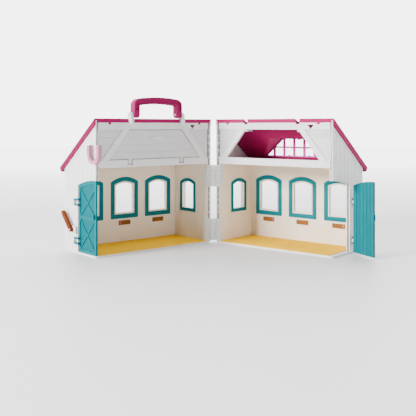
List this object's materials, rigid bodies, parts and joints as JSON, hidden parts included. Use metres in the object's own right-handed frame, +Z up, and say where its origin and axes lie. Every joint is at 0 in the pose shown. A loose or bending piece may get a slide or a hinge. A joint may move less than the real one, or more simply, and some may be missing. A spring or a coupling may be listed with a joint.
{
  "type": "toy stable",
  "caption": "Toy stable carry case in mirrored halves hinged like a book, with arched doors and windows, sloping dormer roofs, loft flap, horseshoe latch and folding handle.",
  "frame": {"origin": "centre of the footprint's bounding box at the underside, as the stable stands open", "axes": "+Z up; -Y towards the open faces of both halves; +X to the right, from the left half to the right half"},
  "size_m": [0.526, 0.2646, 0.2583],
  "materials": {
    "outer_shell": "satin moulded",
    "straw": "printed straw",
    "liner": "printed boards",
    "fascia": "satin moulded",
    "roof": "satin moulded",
    "teal_trim": "satin moulded",
    "lattice": "satin moulded",
    "plate": "wood grained",
    "door": "satin moulded",
    "hinge": "satin moulded",
    "flap": "satin moulded",
    "steel_pin": "plain",
    "handle": "satin moulded",
    "bracket": "satin moulded",
    "latch": "satin moulded",
    "latch_pin": "satin moulded",
    "bar": "satin moulded",
    "bar_block": "satin moulded"
  },
  "bodies": {
    "left_half": {"left_base": "outer_shell", "left_straw_mat": "straw", "left_back_shell": "outer_shell", "left_hinge_end_shell": "outer_shell", "left_door_end_shell": "outer_shell", "left_back_liner": "liner", "left_hinge_end_liner": "liner", "left_door_end_liner": "liner", "left_loft_floor": "liner", "left_fascia": "fascia", "left_roof": "roof", "left_dormer_hood": "roof", "left_dormer_lattice": "lattice", "left_window_frame_1": "teal_trim", "left_window_frame_2": "teal_trim", "left_window_frame_3": "teal_trim", "left_side_window_frame": "teal_trim", "left_stall_plate_1": "plate", "left_stall_plate_2": "plate", "left_stall_plate_3": "plate", "left_lower_hinge_leaf": "hinge", "left_upper_hinge_leaf": "hinge", "handle_bracket_1": "bracket", "handle_bracket_2": "bracket", "handle_pins": "steel_pin", "flap_pins": "steel_pin", "latch_pin": "latch_pin", "door_bar_block": "bar_block", "case_hinge_pins": "steel_pin"},
    "right_half": {"right_base": "outer_shell", "right_straw_mat": "straw", "right_back_shell": "outer_shell", "right_hinge_end_shell": "outer_shell", "right_door_end_shell": "outer_shell", "right_back_liner": "liner", "right_hinge_end_liner": "liner", "right_door_end_liner": "liner", "right_loft_floor": "liner", "right_fascia": "fascia", "right_roof": "roof", "right_dormer_hood": "roof", "right_dormer_lattice": "lattice", "right_window_frame_1": "teal_trim", "right_window_frame_2": "teal_trim", "right_window_frame_3": "teal_trim", "right_side_window_frame": "teal_trim", "right_stall_plate_1": "plate", "right_stall_plate_2": "plate", "right_stall_plate_3": "plate", "right_lower_hinge_leaf": "hinge", "right_upper_hinge_leaf": "hinge", "latch_catch_peg": "latch_pin"},
    "left_door_leaf": {"left_door": "door"},
    "right_door_leaf": {"right_door": "door"},
    "handle": {"carry_handle": "handle"},
    "flap": {"loft_flap": "flap"},
    "latch": {"horseshoe_latch": "latch"},
    "bar": {"door_bar": "bar"}
  },
  "joints": [
    {"name": "case_hinge", "type": "hinge", "parent": "left_half", "child": "right_half", "pos_m": [0, 0.04807, 0.071], "axis": [0, 0, 1], "range_deg": [-100, 80]},
    {"name": "left_door_hinge", "type": "hinge", "parent": "left_half", "child": "left_door_leaf", "pos_m": [-0.23028, -0.0616, 0.053], "axis": [0, 0, -1], "range_deg": [0, 130]},
    {"name": "right_door_hinge", "type": "hinge", "parent": "right_half", "child": "right_door_leaf", "pos_m": [0.23028, -0.0616, 0.053], "axis": [0, 0, 1], "range_deg": [-62.5, 102.5]},
    {"name": "handle_fold", "type": "hinge", "parent": "left_half", "child": "handle", "pos_m": [-0.09637, -0.03279, 0.2295], "axis": [-0.766, -0.6428, 0], "range_deg": [-114, 114]},
    {"name": "loft_flap_hinge", "type": "hinge", "parent": "left_half", "child": "flap", "pos_m": [-0.09753, -0.03141, 0.1485], "axis": [0.766, 0.6428, 0], "range_deg": [0, 120]},
    {"name": "horseshoe_swing", "type": "hinge", "parent": "left_half", "child": "latch", "pos_m": [-0.19783, -0.10618, 0.161], "axis": [-0.766, -0.6428, 0], "range_deg": [-70, 0]},
    {"name": "door_bar_swing", "type": "hinge", "parent": "left_half", "child": "bar", "pos_m": [-0.2356, -0.06241, 0.0391], "axis": [0.766, 0.6428, 0], "range_deg": [-40, 134]}
  ]
}
